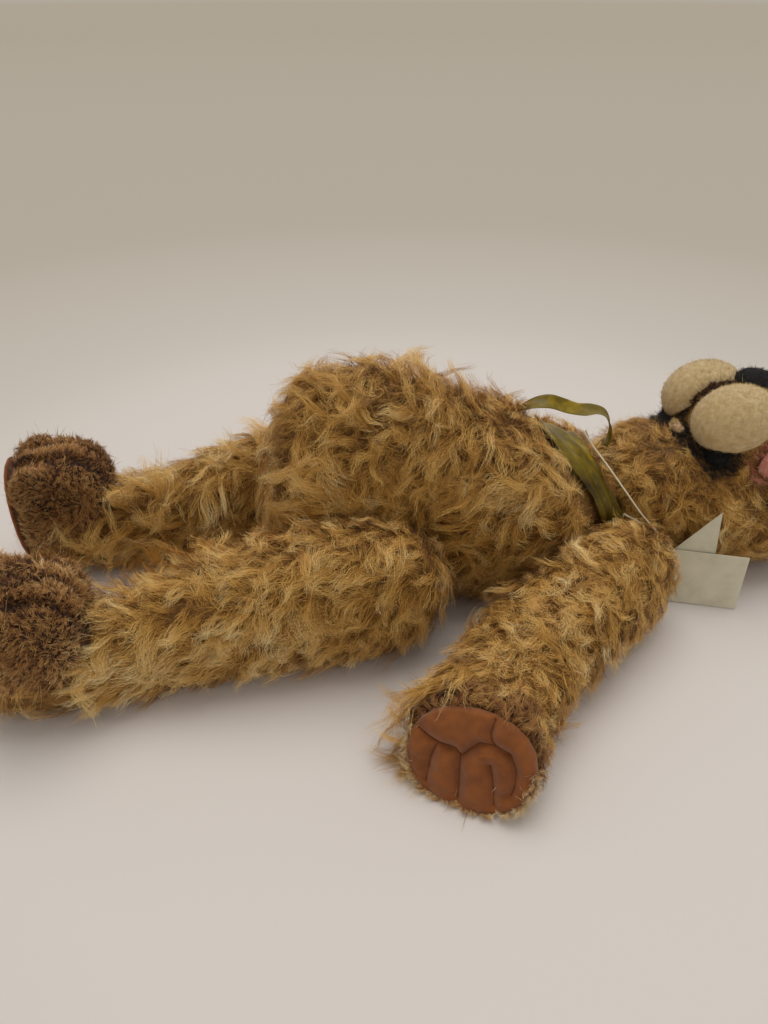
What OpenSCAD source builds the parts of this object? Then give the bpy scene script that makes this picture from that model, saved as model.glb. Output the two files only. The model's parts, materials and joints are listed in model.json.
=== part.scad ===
// Jointed teddy bear, lying on its back with its feet towards -X and its face up.
// Soft parts are lofts of oval rings. A skin is the outer form less an inset form,
// and the inset form is the stuffing, with pockets for the five disc joints.
// The forms are written about the hips, on the middle of the back, and moved once by place().

/* [Soft parts] */
// Thickness of the mohair skin, backing and lying pile together
skin_t = 6; // [4:0.5:7]
// Sides of the oval rings that the soft forms are lofted from
ring_sides = 20; // [16:2:24]
// Thickness of the suede palms and soles
suede_t = 3; // [2:0.5:4]
// How far the brown plush reaches up the arm from the palm
paw_back_w = 16; // [12:1:22]

/* [Joints] */
// Diameter of the neck discs
neck_disc_d = 52; // [40:1:52]
// Diameter of the shoulder discs
shoulder_disc_d = 30; // [26:1:31]
// Diameter of the hip discs
hip_disc_d = 48; // [40:1:50]
// Thickness of each disc
disc_t = 3; // [2:0.5:4]
// Diameter of the joint bolts
bolt_d = 6; // [4:0.5:6]
// Diameter of the washers
washer_d = 18; // [14:1:20]

/* [Ribbon and tag] */
// Thickness of the ribbon where it lies round the neck
ribbon_t = 0.9; // [0.6:0.1:1]
// Diameter of the tag string
string_d = 1.2; // [0.8:0.1:1.4]
// Width of the front tag card
card_w = 52.5; // [45:0.5:55]
// Height of the front tag card
card_h = 41; // [34:0.5:42]
// Thickness of a tag card
card_t = 0.6; // [0.4:0.1:1]

/* [Face] */
// Diameter of the glass eyes
eye_d = 14; // [10:1:16]
// Width of one ear
ear_w = 44; // [36:1:46]

/* [Hidden] */

// colours
mohair = "#b58a50";
brown_plush = "#6b4630";
suede = "#9a5c3c";
felt = "#e3d3b4";
filling = "#efeae0";
fibreboard = "#8d6b46";
steel = "#b9bcc0";
satin = "#6f7426";
card_white = "#d9d5ca";
black = "#15120f";
blush = "#c9796a";

// where the forms' own origin lies from the middle of the bear's underside
origin_x = 38.85;
origin_y = 0;

// joints: the point where each joint's axis meets the torso, and how far the limb stands off
neck_x = 155;
neck_z = 54;
neck_gap = 0.6;
shoulder = [130, -46, 42];
shoulder_tilt = 25;
shoulder_gap = 2.8;
hip = [-20, -40, 46];
hip_gap = 0.6;
// the belly overhangs the legs in front of this place
hip_room_x = 28;
arm_angle = 41;

// joint hardware
slack = 0.3;
running = 0.05;
washer_t = 1.6;
head_t = 4;
nut_t = 6;
hex_d = 11.5;
hole_r = bolt_d / 2 + 0.6;
bolt_head_z = -(skin_t + 2 * slack + disc_t + washer_t + head_t);

big = 400;

// stations of a form: [place along the axis, middle, lowest, highest, half width]
body_stations = [
    [-74, 0, 46, 94, 16], [-68, 0, 26, 128, 30], [-56, 0, 9, 150, 38], [-32, 0, -1, 161, 43],
    [-4, 0, -2, 160, 44], [24, 0, -2, 148, 47], [50, 0, -2, 134, 55], [76, 0, -1, 125, 58],
    [94, 0, 1, 118, 57], [112, 0, 4, 107, 54], [130, 0, 9, 96, 48], [144, 0, 15, 90, 39],
    [152, 0, 19, 88, 35], [160, 0, 21, 87, 33]
];
leg_stations = [
    [-246, -69, 6, 28, 16], [-240, -69, 0, 38, 24], [-220, -69, -1, 48, 30], [-196, -68, -1, 54, 30],
    [-176, -67, 0, 57, 27], [-152, -66, 0, 61, 26], [-126, -65, -1, 71, 28], [-88, -64, -1, 85, 29],
    [-50, -64, -1, 91, 29], [-20, -64, 0, 91, 28], [0, -63, 5, 87, 27], [12, -62, 13, 78, 24],
    [20, -61, 24, 67, 19], [24, -60, 36, 57, 12]
];
foot_stations = [
    [-247, -69, 18, 74, 20], [-243, -69, 12, 86, 28], [-232, -69, 10, 94, 32], [-214, -69, 12, 96, 34],
    [-200, -69, 16, 93, 33], [-190, -69, 26, 86, 28], [-184, -69, 44, 71, 17]
];
arm_stations = [
    [-25, 25, 27, 59, 17], [-20, 26, 16, 64, 25], [-8, 26, 5, 69, 31], [10, 24, -1, 69, 33],
    [35, 19, -1, 67, 34], [65, 13, -1, 62, 36], [95, 10, -1, 57, 35], [125, 11, -1, 52, 34],
    [150, 16, -1, 50, 35], [168, 20, -1, 49, 36], [185, 22, -1, 48, 36], [206, 24, -1, 45, 34]
];
head_stations = [
    [150, 0, 21, 87, 33], [158, 0, 20, 88, 34], [166, 0, 16, 92, 38], [177, 0, 10, 98, 44],
    [190, 0, 4, 101, 49], [206, 0, 0, 101, 53], [228, 0, -2, 99, 56], [252, 0, -2, 97, 57],
    [276, 0, -2, 92, 56], [298, 0, 2, 84, 50], [314, 0, 9, 74, 41], [324, 0, 20, 63, 29],
    [329, 0, 32, 52, 15]
];
// the muzzle stands up from the face: [height, middle along X, half length, half width]
muzzle_stations = [[74, 240, 40, 46], [92, 239, 37, 41], [106, 239, 33, 35], [118, 241, 27, 27], [126, 244, 17, 16]];

// the paw's end is cut on a slant, so that the palm faces up and a little towards the head
palm_middle = [177, 24, 24];
palm_tilt = 28;
palm_turn = 14;

// the neck ribbon's edges seen from the side: slack on the chest, tight in the crease
ribbon_side = [[84, 140], [124, 74], [137, 54], [137, 0], [153, 0], [153, 52], [146, 74], [108, 140]];
// the twisted end that stands up from the ribbon: [middle, half of its width as a vector]
bow_path = [
    [[88, -2, 127], [1, 8, -2]], [[96, -2, 130], [2, 8, 1]], [[106, -3, 131], [1, 6, 4]],
    [[117, -3, 127], [0, 5, 5]], [[128, -3, 123], [-1, 7, 3]], [[138, -3, 122], [1, 8, 1]],
    [[145, -4, 119], [3, 8, 0]], [[149, -5, 112], [3, 8, -1]], [[149.5, -6, 104], [2, 8, -2]],
    [[147, -7, 97], [1, 7, -3]]
];
bow_t = 0.7;

// the tag string: round the neck in the crease, with both ends on the card
crease_x = 154.7;
crease_r = 36.95;
crease_from = 40;
crease_turn = 228;
string_first_end = [
    [184.5, -60.6, 37], [182.3, -59.4, 42.6], [178.5, -54, 46], [171, -47.5, 54.5], [162, -43.5, 65],
    [152.5, -38.5, 78], [143, -27.5, 91.5], [136, -15, 101], [135, -3, 104], [140, 10, 100], [148, 22, 90.5]
];
string_last_end = [
    [157.2, -38.0, 58.5], [163.5, -40.3, 55.5], [170.5, -44.8, 50.5], [177, -50.5, 45.5],
    [180.3, -57.3, 43.2], [183, -60.4, 38.4]
];
string_path = concat(
    string_first_end,
    [for (i = [0:16]) let (a = crease_from - crease_turn * i / 16)
        [crease_x, crease_r * cos(a), neck_z + crease_r * sin(a)]],
    string_last_end
);

// the front card stands on its lower edge, a little tilted towards the head
card_corner = [178.4, -59.6, 0.8];
card_along = [0.927, -0.375, 0];
card_up = [0.0346, 0.0856, 0.9957];
// the back card lies close behind it, with one corner up
back_card_space = 1.2;
back_card_outline = [[0, 34], [29, 71.5], [32, 30], [6, 26]];

/* ---- helpers ---- */

function soft(v, power) = sign(v) * pow(abs(v), 2 / power);

// an oval ring across the X axis, a little squarer than an ellipse
function ring(s, inset, power = 2.25) = [
    for (i = [0:ring_sides - 1]) let (a = 360 * (i + 0.5) / ring_sides) [
        s[0],
        s[1] + (s[4] - inset) * soft(cos(a), power),
        (s[2] + s[3]) / 2 + ((s[3] - s[2]) / 2 - inset) * soft(sin(a), power)
    ]
];

// the same stations drawn in by an inset at both ends
function drawn_in(stations, inset) = let (
    first = stations[0][0],
    last = stations[len(stations) - 1][0],
    middle = (first + last) / 2,
    factor = (last - first - 2 * inset) / (last - first)
) [for (s = stations) [middle + (s[0] - middle) * factor, s[1], s[2], s[3], s[4]]];

// joins rings of equal size into one closed solid, in order along their axis
module skin_rings(rings) {
    n = len(rings[0]);
    last = len(rings) - 1;
    points = [for (r = rings) for (p = r) p];
    // the diagonals run so that a ring's two halves mirror each other
    sides = [for (j = [0:last - 1]) for (i = [0:n - 1]) let (
        a = j * n + i, b = j * n + (i + 1) % n, c = b + n, d = a + n
    ) for (f = cos(360 * (i + 1) / n) > 0 ? [[a, d, c], [a, c, b]] : [[a, d, b], [b, d, c]]) f];
    ends = [[for (i = [0:n - 1]) i], [for (i = [0:n - 1]) last * n + n - 1 - i]];
    polyhedron(points = points, faces = concat(ends, sides), convexity = 8);
}

module loft(stations, inset = 0) {
    skin_rings([for (s = drawn_in(stations, inset)) ring(s, inset)]);
}

// a faceted egg shape
module egg(rx, ry, rz, sides = 14, bands = 8) {
    skin_rings([for (j = [0:bands]) let (b = -80 + 160 * j / bands) [
        for (i = [0:sides - 1]) let (a = 360 * (i + 0.5) / sides)
            [rx * sin(b) / sin(80), ry * cos(b) * cos(a), rz * cos(b) * sin(a)]
    ]]);
}

// everything above z = 0 of a local frame, as a very large block
module half_space() {
    translate([-big, -big, 0]) cube([2 * big, 2 * big, big]);
}

module below_floor(inset) {
    translate([0, 0, inset]) mirror([0, 0, 1]) half_space();
}

// a hole or pocket with flat sides that clears a round of radius r
module pocket(r, from, to) {
    translate([0, 0, from]) cylinder(r = r / cos(15), h = to - from, $fn = 12);
}

module place() {
    translate([-origin_x, -origin_y, 0]) children();
}

module left() {
    place() children();
}

module right() {
    place() mirror([0, 1, 0]) children();
}

// joint frames: +Z runs out of the torso along the joint's axis
module at_neck() {
    translate([neck_x, 0, neck_z]) rotate([0, 90, 0]) children();
}

module at_shoulder() {
    translate(shoulder) rotate([0, 0, shoulder_tilt - 90]) rotate([0, 90, 0]) children();
}

module at_hip() {
    translate(hip) rotate([90, 0, 0]) children();
}

module both_sides() {
    children();
    mirror([0, 1, 0]) children();
}

// the arm's own frame: +X towards the paw, +Z up from the floor
module at_arm() {
    translate([shoulder[0], shoulder[1], 0]) rotate([0, 0, 180 + arm_angle]) children();
}

module at_palm() {
    translate(palm_middle) rotate([0, 90 - palm_tilt, palm_turn]) children();
}

/* ---- joint hardware, in a joint's frame ---- */

module disc(d, from) {
    translate([0, 0, from]) difference() {
        cylinder(d = d, h = disc_t, $fn = 64);
        translate([0, 0, -1]) cylinder(r = bolt_d / 2 + running, h = disc_t + 2, $fn = 48);
    }
}

module body_disc(d) {
    disc(d, -(skin_t + slack + disc_t));
}

module limb_disc(d, gap) {
    disc(d, gap + skin_t + slack);
}

module washer(from) {
    translate([0, 0, from]) difference() {
        cylinder(d = washer_d, h = washer_t, $fn = 48);
        translate([0, 0, -1]) cylinder(r = bolt_d / 2 + running, h = washer_t + 2, $fn = 48);
    }
}

// one washer under the bolt's head in the torso and one under the nut in the limb
module washers(gap) {
    washer(bolt_head_z + head_t);
    washer(gap + skin_t + slack + disc_t);
}

module bolt(gap) {
    length = gap + skin_t + slack + disc_t + washer_t + nut_t + 1.5;
    translate([0, 0, bolt_head_z]) cylinder(d = hex_d, h = head_t, $fn = 6);
    translate([0, 0, bolt_head_z]) cylinder(d = bolt_d, h = length - bolt_head_z, $fn = 48);
}

module nut(gap) {
    translate([0, 0, gap + skin_t + slack + disc_t + washer_t]) difference() {
        cylinder(d = hex_d, h = nut_t, $fn = 6);
        translate([0, 0, -1]) cylinder(r = bolt_d / 2 + running, h = nut_t + 2, $fn = 48);
    }
}

// the room for a joint's inner parts in the torso's stuffing
module body_room(d) {
    pocket(d / 2 + 0.6, -(skin_t + 2 * slack + disc_t), 1);
    pocket(washer_d / 2 + 0.6, bolt_head_z - slack, 1);
}

// and in the limb's stuffing
module limb_room(d, gap) {
    end = gap + skin_t + slack + disc_t + washer_t + nut_t + 2.5;
    pocket(d / 2 + 0.3, -1, gap + skin_t + slack + disc_t);
    pocket(washer_d / 2 + 0.3, -1, end);
}

module bolt_hole() {
    pocket(hole_r, -20, 20);
}

/* ---- torso ---- */

// the torso bulges round its joint discs, so that each disc lies under flat cloth
module joint_bosses(inset) {
    both_sides() {
        at_hip() translate([0, 0, -12]) egg(36 - inset, 36 - inset, 26 - inset, 20);
        at_shoulder() translate([0, 0, -12]) egg(30 - inset, 30 - inset, 26 - inset, 20);
    }
}

module body_form(inset) {
    difference() {
        union() {
            loft(body_stations, inset);
            joint_bosses(inset);
        }
        below_floor(inset);
        translate([0, 0, -inset]) at_neck_plane(inset) half_space();
        both_sides() {
            translate([-big, -big, -big]) cube([big + hip_room_x + inset, big + hip[1] + inset, 2 * big]);
            at_shoulder() translate([0, 0, -inset]) half_space();
        }
    }
}

module at_neck_plane(inset) {
    translate([neck_x - inset, 0, 0]) rotate([0, 90, 0]) children();
}

module body_skin() {
    color(mohair) place() difference() {
        body_form(0);
        body_form(skin_t);
        at_neck() bolt_hole();
        both_sides() {
            at_shoulder() bolt_hole();
            at_hip() bolt_hole();
        }
    }
}

module body_stuffing() {
    color(filling) place() difference() {
        body_form(skin_t);
        at_neck() body_room(neck_disc_d);
        both_sides() {
            at_shoulder() body_room(shoulder_disc_d);
            at_hip() body_room(hip_disc_d);
        }
    }
}

module neck_body_disc() {
    color(fibreboard) place() at_neck() body_disc(neck_disc_d);
}

module shoulder_body_discs() {
    color(fibreboard) place() both_sides() at_shoulder() body_disc(shoulder_disc_d);
}

module hip_body_discs() {
    color(fibreboard) place() both_sides() at_hip() body_disc(hip_disc_d);
}

/* ---- ribbon and tag ---- */

module neck_ribbon() {
    color(satin) place() intersection() {
        difference() {
            body_form(-slack - ribbon_t);
            body_form(-slack);
        }
        rotate([90, 0, 0]) translate([0, 0, -big / 2]) linear_extrude(big) polygon(ribbon_side);
    }
}

module ribbon_bow() {
    color(satin) place() skin_rings([for (i = [0:len(bow_path) - 1]) let (
        c = bow_path[i][0],
        w = bow_path[i][1],
        ahead = bow_path[min(i + 1, len(bow_path) - 1)][0] - bow_path[max(i - 1, 0)][0],
        t = cross(ahead, w) / norm(cross(ahead, w)) * bow_t / 2
    ) [c + w - t, c + w + t, c - w + t, c - w - t]]);
}

module tag_string() {
    last = len(string_path) - 1;
    color(felt) place() skin_rings([for (i = [0:last]) let (
        along = string_path[min(i + 1, last)] - string_path[max(i - 1, 0)],
        t = along / norm(along),
        side = cross(t, [1, 0, 0]) / norm(cross(t, [1, 0, 0])),
        other = cross(t, side)
    ) [for (k = [0:5]) string_path[i] + string_d / 2 * (cos(60 * k) * side + sin(60 * k) * other)]]);
}

// a flat card from its outline in the card's own plane
module card(outline, behind = 0) {
    normal = cross(card_along, card_up);
    corner = card_corner - behind * normal;
    m = [for (k = [0:2]) [card_along[k], card_up[k], normal[k], corner[k]]];
    multmatrix(concat(m, [[0, 0, 0, 1]])) linear_extrude(card_t) polygon(outline);
}

module tag_front_card() {
    color(card_white) place() card([[0, 0], [card_w, 0], [card_w, card_h], [0, card_h]]);
}

module tag_back_card() {
    color(card_white) place() card(back_card_outline, card_t + back_card_space);
}

/* ---- head ---- */

module muzzle_form(inset) {
    rotate([0, -90, 0]) skin_rings([for (s = muzzle_stations) [
        for (i = [0:ring_sides - 1]) let (a = 360 * (i + 0.5) / ring_sides)
            [s[0] - inset, (s[3] - inset) * cos(a), -s[1] + (s[2] - inset) * sin(a)]
    ]]);
}

module head_form(inset) {
    difference() {
        union() {
            loft(head_stations, inset);
            muzzle_form(inset);
        }
        below_floor(inset);
        translate([neck_x + neck_gap + inset, 0, 0]) rotate([0, -90, 0]) half_space();
    }
}

module head_skin() {
    color(mohair) place() difference() {
        head_form(0);
        head_form(skin_t);
        at_neck() bolt_hole();
    }
}

module head_stuffing() {
    color(filling) place() difference() {
        head_form(skin_t);
        at_neck() limb_room(neck_disc_d, neck_gap);
    }
}

module ear() {
    difference() {
        translate([306, -44, 56]) rotate([0, -12, -50]) egg(ear_w / 2, ear_w / 2, 7);
        head_form(0);
        translate([309, -48, 64]) rotate([0, -12, -50]) egg(ear_w / 2 - 7, ear_w / 2 - 7, 6);
    }
}

module left_ear() {
    color(mohair) left() ear();
}

module right_ear() {
    color(mohair) right() ear();
}

module eye() {
    difference() {
        translate([253, -51, 67]) egg(eye_d / 2, eye_d / 2, eye_d / 2, 12, 8);
        head_form(0);
    }
}

module left_eye() {
    color(black) left() eye();
}

module right_eye() {
    color(black) right() eye();
}

module eyelids() {
    color(felt) place() both_sides() difference() {
        translate([254, -51, 67]) egg(eye_d / 2 + 3, eye_d / 2 + 2, eye_d / 2 + 2, 12, 8);
        translate([253, -51, 67]) egg(eye_d / 2 + 0.2, eye_d / 2 + 0.2, eye_d / 2 + 0.2, 12, 8);
        translate([254, -51, 67]) rotate([0, -90, 0]) half_space();
        head_form(0);
    }
}

module nose_form() {
    translate([258, 0, 126]) rotate([0, 20, 0]) egg(17, 19, 12);
}

module nose() {
    color(black) place() difference() {
        nose_form();
        head_form(0);
    }
}

module pad_form() {
    translate([230, -20, 115]) rotate([0, -14, 0]) egg(28, 24, 23, 16, 10);
}

module pad() {
    difference() {
        pad_form();
        head_form(0);
        nose_form();
        translate([0, 0.15, 0]) rotate([-90, 0, 0]) translate([0, 0, -0.3]) half_space();
    }
}

module muzzle_left_pad() {
    color(felt) left() pad();
}

module muzzle_right_pad() {
    color(felt) right() pad();
}

module lip_form() {
    translate([204, 0, 100]) egg(6, 9, 5, 12, 6);
}

module mouth_lining() {
    color(black) place() difference() {
        translate([218, 0, 94]) rotate([0, -25, 0]) egg(14, 40, 10, 16, 8);
        head_form(0);
        both_sides() pad_form();
        lip_form();
    }
}

module lower_lip() {
    color(felt) place() difference() {
        lip_form();
        head_form(0);
        both_sides() pad_form();
    }
}

module cheeks() {
    color(blush) place() both_sides() difference() {
        translate([256, -40, 90]) rotate([35, 0, 0]) egg(15, 12, 7, 12, 6);
        head_form(0);
        pad_form();
    }
}

module neck_head_disc() {
    color(fibreboard) place() at_neck() limb_disc(neck_disc_d, neck_gap);
}

module neck_washers() {
    color(steel) place() at_neck() washers(neck_gap);
}

module neck_bolt() {
    color(steel) place() at_neck() bolt(neck_gap);
}

module neck_nut() {
    color(steel) place() at_neck() nut(neck_gap);
}

/* ---- arms, drawn on the left ---- */

module arm_form(inset) {
    difference() {
        at_arm() loft(arm_stations, inset);
        below_floor(inset);
        at_shoulder() translate([0, 0, shoulder_gap + inset]) mirror([0, 0, 1]) half_space();
    }
}

// what lies beyond a plane parallel to the palm
module beyond_palm(offset) {
    at_arm() at_palm() translate([0, 0, offset]) half_space();
}

module arm_skin() {
    difference() {
        arm_form(0);
        arm_form(skin_t);
        beyond_palm(-paw_back_w - 0.2);
        at_shoulder() bolt_hole();
    }
}

module arm_stuffing() {
    difference() {
        arm_form(skin_t);
        beyond_palm(-0.2);
        at_shoulder() limb_room(shoulder_disc_d, shoulder_gap);
    }
}

module paw_back() {
    difference() {
        intersection() {
            arm_form(0);
            beyond_palm(-paw_back_w);
        }
        arm_form(skin_t);
        beyond_palm(-0.2);
    }
}

// a flat pad with five stuffed fingers along its lower edge
module palm() {
    difference() {
        union() {
            arm_form(1.5);
            intersection() {
                arm_form(0.6);
                for (i = [-2:2])
                    at_arm() at_palm() translate([20 - 1.6 * i * i, 11 * i, 1]) egg(13, 6.4, 5.5, 10, 6);
            }
        }
        beyond_palm(suede_t);
        at_arm() at_palm() mirror([0, 0, 1]) half_space();
    }
}

module left_arm_skin() {
    color(mohair) left() arm_skin();
}

module left_arm_stuffing() {
    color(filling) left() arm_stuffing();
}

module left_paw_back() {
    color(brown_plush) left() paw_back();
}

module left_palm() {
    color(suede) left() palm();
}

module left_arm_disc() {
    color(fibreboard) left() at_shoulder() limb_disc(shoulder_disc_d, shoulder_gap);
}

module left_arm_washers() {
    color(steel) left() at_shoulder() washers(shoulder_gap);
}

module left_arm_bolt() {
    color(steel) left() at_shoulder() bolt(shoulder_gap);
}

module left_arm_nut() {
    color(steel) left() at_shoulder() nut(shoulder_gap);
}

module right_arm_skin() {
    color(mohair) right() arm_skin();
}

module right_arm_stuffing() {
    color(filling) right() arm_stuffing();
}

module right_paw_back() {
    color(brown_plush) right() paw_back();
}

module right_palm() {
    color(suede) right() palm();
}

module right_arm_disc() {
    color(fibreboard) right() at_shoulder() limb_disc(shoulder_disc_d, shoulder_gap);
}

module right_arm_washers() {
    color(steel) right() at_shoulder() washers(shoulder_gap);
}

module right_arm_bolt() {
    color(steel) right() at_shoulder() bolt(shoulder_gap);
}

module right_arm_nut() {
    color(steel) right() at_shoulder() nut(shoulder_gap);
}

/* ---- legs, drawn on the left ---- */

module leg_form(inset) {
    difference() {
        loft(leg_stations, inset);
        below_floor(inset);
        at_hip() translate([0, 0, hip_gap + inset]) mirror([0, 0, 1]) half_space();
    }
}

module leg_skin() {
    difference() {
        leg_form(0);
        leg_form(skin_t);
        at_hip() bolt_hole();
    }
}

module leg_stuffing() {
    difference() {
        leg_form(skin_t);
        at_hip() limb_room(hip_disc_d, hip_gap);
    }
}

// a plush block over the heel, with four toes along its upper edge
module foot() {
    difference() {
        union() {
            loft(foot_stations);
            for (i = [0:3])
                translate([-231, -69 + 15.5 * (i - 1.5), 78 - 2.5 * pow(i - 1.5, 2)]) egg(17, 9, 19, 10, 6);
        }
        leg_form(0);
        at_hip() translate([0, 0, hip_gap]) mirror([0, 0, 1]) half_space();
    }
}

module sole() {
    front = [-248.3 - suede_t, -69, 10, 84, 23];
    middle = [-248.3 - suede_t / 2, -69, 8, 86, 25];
    rear = [-248.3, -69, 8, 86, 25];
    difference() {
        loft([front, middle, rear]);
        leg_form(0);
    }
}

module left_leg_skin() {
    color(mohair) left() leg_skin();
}

module left_leg_stuffing() {
    color(filling) left() leg_stuffing();
}

module left_foot() {
    color(brown_plush) left() foot();
}

module left_sole() {
    color(suede) left() sole();
}

module left_leg_disc() {
    color(fibreboard) left() at_hip() limb_disc(hip_disc_d, hip_gap);
}

module left_leg_washers() {
    color(steel) left() at_hip() washers(hip_gap);
}

module left_leg_bolt() {
    color(steel) left() at_hip() bolt(hip_gap);
}

module left_leg_nut() {
    color(steel) left() at_hip() nut(hip_gap);
}

module right_leg_skin() {
    color(mohair) right() leg_skin();
}

module right_leg_stuffing() {
    color(filling) right() leg_stuffing();
}

module right_foot() {
    color(brown_plush) right() foot();
}

module right_sole() {
    color(suede) right() sole();
}

module right_leg_disc() {
    color(fibreboard) right() at_hip() limb_disc(hip_disc_d, hip_gap);
}

module right_leg_washers() {
    color(steel) right() at_hip() washers(hip_gap);
}

module right_leg_bolt() {
    color(steel) right() at_hip() bolt(hip_gap);
}

module right_leg_nut() {
    color(steel) right() at_hip() nut(hip_gap);
}

body_skin();
body_stuffing();
neck_body_disc();
shoulder_body_discs();
hip_body_discs();
neck_ribbon();
ribbon_bow();
tag_string();
tag_front_card();
tag_back_card();
head_skin();
head_stuffing();
left_ear();
right_ear();
left_eye();
right_eye();
eyelids();
nose();
muzzle_left_pad();
muzzle_right_pad();
mouth_lining();
lower_lip();
cheeks();
neck_head_disc();
neck_washers();
neck_bolt();
neck_nut();
left_arm_skin();
left_arm_stuffing();
left_paw_back();
left_palm();
left_arm_disc();
left_arm_washers();
left_arm_bolt();
left_arm_nut();
right_arm_skin();
right_arm_stuffing();
right_paw_back();
right_palm();
right_arm_disc();
right_arm_washers();
right_arm_bolt();
right_arm_nut();
left_leg_skin();
left_leg_stuffing();
left_foot();
left_sole();
left_leg_disc();
left_leg_washers();
left_leg_bolt();
left_leg_nut();
right_leg_skin();
right_leg_stuffing();
right_foot();
right_sole();
right_leg_disc();
right_leg_washers();
right_leg_bolt();
right_leg_nut();
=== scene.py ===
"""The looks of a jointed mohair teddy bear that lies on its back.

Each soft region starts from its CAD solids. They are remeshed into one smooth hide, set back a little,
and the hide is covered with modelled strands of mohair, plush or felt fuzz. Lengths are in metres.
"""

import json
import math

import bmesh
import bpy
import numpy as np
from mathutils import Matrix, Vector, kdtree
from mathutils.bvhtree import BVHTree


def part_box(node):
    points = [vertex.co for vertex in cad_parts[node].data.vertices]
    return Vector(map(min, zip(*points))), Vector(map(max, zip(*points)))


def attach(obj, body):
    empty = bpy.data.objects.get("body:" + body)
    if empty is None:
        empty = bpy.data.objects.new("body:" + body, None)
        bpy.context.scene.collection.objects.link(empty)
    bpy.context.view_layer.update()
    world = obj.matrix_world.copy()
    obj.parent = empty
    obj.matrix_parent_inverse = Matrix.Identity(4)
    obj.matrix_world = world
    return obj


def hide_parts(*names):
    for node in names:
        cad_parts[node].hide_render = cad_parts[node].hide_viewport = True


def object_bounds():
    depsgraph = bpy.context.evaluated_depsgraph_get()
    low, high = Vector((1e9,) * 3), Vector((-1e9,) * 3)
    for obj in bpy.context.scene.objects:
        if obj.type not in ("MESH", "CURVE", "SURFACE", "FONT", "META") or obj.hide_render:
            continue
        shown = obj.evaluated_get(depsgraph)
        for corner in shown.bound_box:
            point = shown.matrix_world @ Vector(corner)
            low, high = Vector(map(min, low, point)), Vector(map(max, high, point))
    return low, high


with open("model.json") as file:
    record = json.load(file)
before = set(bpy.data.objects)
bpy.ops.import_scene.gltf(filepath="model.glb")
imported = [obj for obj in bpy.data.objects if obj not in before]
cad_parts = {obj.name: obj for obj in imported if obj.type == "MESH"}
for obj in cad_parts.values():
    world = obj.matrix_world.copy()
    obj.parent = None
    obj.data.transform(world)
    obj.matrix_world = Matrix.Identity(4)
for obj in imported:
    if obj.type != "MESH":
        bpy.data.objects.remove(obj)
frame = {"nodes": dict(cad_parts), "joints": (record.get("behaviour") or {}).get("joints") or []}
cad_bounds = [list(corner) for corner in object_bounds()]
NODES = frame["nodes"]
MM = 0.001
DENSITY = 1.0
SIDES = {"left": -1, "right": 1}

# ---- camera, floor and light ----

CAMERA_PLACE = (-0.1225, -0.4202, 0.357)
CAMERA_PITCH = 35
CAMERA_TURN = 11
FLOOR_HALF_SIDE = 20
# floor colours by distance from the middle, as a share of half the side: a painted pool of light, palest
# under the bear, darker further out and paler again at the far edge
FLOOR_COLOURS_WITH_PAINTED_LIGHT = [
    (0.0, "#e6dfda"), (0.0176, "#e1dad4"), (0.025, "#d2cbc2"), (0.048, "#c0b7aa"), (0.3, "#b9b0a0"),
    (0.65, "#b9b0a0"), (1.0, "#c6c4be"),
]


def linear(hex_colour):
    """A display colour such as #a08050 as linear red, green, blue and alpha."""
    channels = [int(hex_colour[i : i + 2], 16) / 255 for i in (1, 3, 5)]
    return [c / 12.92 if c <= 0.04045 else ((c + 0.055) / 1.055) ** 2.4 for c in channels] + [1.0]


def link(name, data):
    piece = bpy.data.objects.new(name, data)
    bpy.context.scene.collection.objects.link(piece)
    return piece


def make_camera():
    data = bpy.data.cameras.new("camera")
    data.sensor_fit = "HORIZONTAL"
    data.sensor_width = 36
    data.lens = 36.1
    data.clip_start = 0.01
    camera = link("camera", data)
    camera.location = CAMERA_PLACE
    camera.rotation_euler = (math.radians(90 - CAMERA_PITCH), 0, math.radians(-CAMERA_TURN))
    bpy.context.scene.camera = camera


def new_node(material, kind, operation=None, **inputs):
    """A shader node with values on its inputs, which are named with _ for a space."""
    node = material.node_tree.nodes.new(f"ShaderNode{kind}")
    if operation:
        node.operation = operation
    for socket, value in inputs.items():
        node.inputs[socket.replace("_", " ")].default_value = value
    return node


def join(material, *pairs):
    """Links sockets: each pair is a node and its output, then a node and its input."""
    for source, output, target, socket in pairs:
        material.node_tree.links.new(source.outputs[output], target.inputs[socket])


def colour_ramp(material, stops):
    ramp = new_node(material, "ValToRGB")
    while len(ramp.color_ramp.elements) < len(stops):
        ramp.color_ramp.elements.new(0.5)
    for element, (position, colour) in zip(ramp.color_ramp.elements, stops):
        element.position = position
        element.color = linear(colour)
    return ramp


def plain_material(name, colour, roughness=0.6, **inputs):
    """A principled material with fixed values; inputs are its sockets' names with _ for a space."""
    material = bpy.data.materials.new(name)
    material.use_nodes = True
    shader = material.node_tree.nodes["Principled BSDF"]
    shader.inputs["Base Color"].default_value = linear(colour)
    shader.inputs["Roughness"].default_value = roughness
    for socket, value in inputs.items():
        shader.inputs[socket.replace("_", " ")].default_value = value
    return material


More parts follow.
